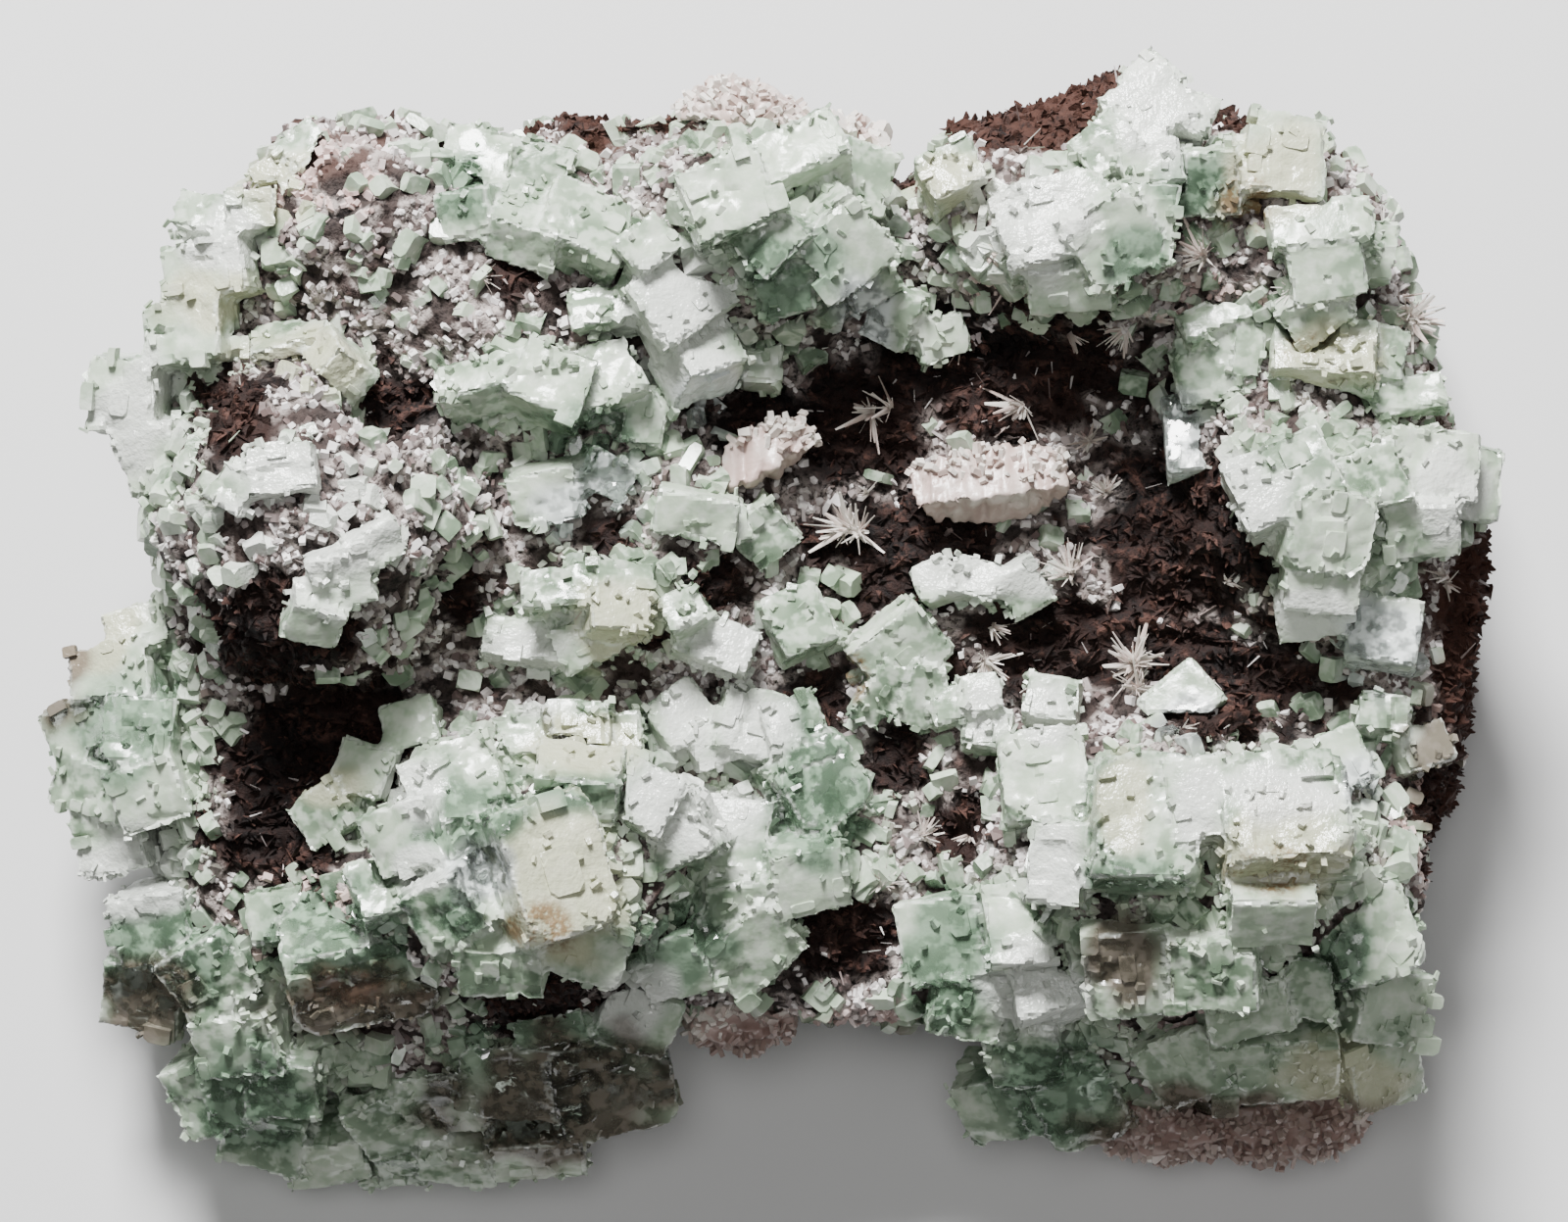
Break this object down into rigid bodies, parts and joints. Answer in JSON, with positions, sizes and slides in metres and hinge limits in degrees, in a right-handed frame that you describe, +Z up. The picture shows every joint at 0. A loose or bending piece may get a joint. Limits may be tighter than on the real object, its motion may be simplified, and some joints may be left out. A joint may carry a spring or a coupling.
{
  "type": "mineral specimen",
  "caption": "Blocky green and white apophyllite crystals with stilbite fans and needle sprays on dark basalt.",
  "frame": {"origin": "middle of the bounding box at the flat resting face", "axes": "+Z up out of the crystal side, +X along the longest side, +Y to the far rim with the bare red-brown rock"},
  "size_m": [0.1518, 0.1192, 0.0565],
  "materials": {
    "apophyllite": "translucent pale green crystal, glassy faces with etched growth steps",
    "stilbite": "pearly white to pink crystal",
    "basalt": "rough broken dark red-brown rock"
  },
  "bodies": {
    "root": {"apophyllite_bottom_plates": "apophyllite", "apophyllite_bottom_right": "apophyllite", "apophyllite_bottom_right_2": "apophyllite", "apophyllite_centre": "apophyllite", "apophyllite_centre_green": "apophyllite", "apophyllite_centre_pale": "apophyllite", "apophyllite_clear_cube": "apophyllite", "apophyllite_cream_blades": "apophyllite", "apophyllite_far_small": "apophyllite", "apophyllite_grey_blades": "apophyllite", "apophyllite_knob": "apophyllite", "apophyllite_knob_crown": "apophyllite", "apophyllite_left_centre": "apophyllite", "apophyllite_left_edge": "apophyllite", "apophyllite_left_lower": "apophyllite", "apophyllite_left_lower_2": "apophyllite", "apophyllite_lilac_tablet": "apophyllite", "apophyllite_lower_centre": "apophyllite", "apophyllite_lower_edge": "apophyllite", "apophyllite_lower_grey": "apophyllite", "apophyllite_lower_left_box": "apophyllite", "apophyllite_lower_middle": "apophyllite", "apophyllite_lower_right": "apophyllite", "apophyllite_lower_yellow": "apophyllite", "apophyllite_right_block": "apophyllite", "apophyllite_right_cluster": "apophyllite", "apophyllite_right_corner": "apophyllite", "apophyllite_right_middle": "apophyllite", "apophyllite_right_rim_small": "apophyllite", "apophyllite_right_shoulder": "apophyllite", "apophyllite_shoulder_rim": "apophyllite", "apophyllite_small_mint": "apophyllite", "apophyllite_top_centre": "apophyllite", "apophyllite_top_left": "apophyllite", "apophyllite_top_right_green": "apophyllite", "apophyllite_top_right_white": "apophyllite", "apophyllite_valley_blade": "apophyllite", "apophyllite_valley_blue": "apophyllite", "apophyllite_valley_cube": "apophyllite", "apophyllite_valley_grey": "apophyllite", "apophyllite_valley_house": "apophyllite", "apophyllite_valley_rhomb": "apophyllite", "apophyllite_valley_row": "apophyllite", "apophyllite_white_peak": "apophyllite", "apophyllite_white_plates": "apophyllite", "basalt_matrix": "basalt", "needle_spray_centre": "stilbite", "needle_spray_corner": "stilbite", "needle_spray_lower": "stilbite", "needle_spray_right": "stilbite", "needle_spray_star": "stilbite", "needle_spray_top": "stilbite", "needle_spray_upper": "stilbite", "needle_spray_valley": "stilbite", "stilbite_arch_foot": "stilbite", "stilbite_cream_dome": "stilbite", "stilbite_fan_left": "stilbite", "stilbite_pink_foot": "stilbite", "stilbite_rim_pink": "stilbite", "stilbite_valley_fan": "stilbite"}
  },
  "joints": []
}
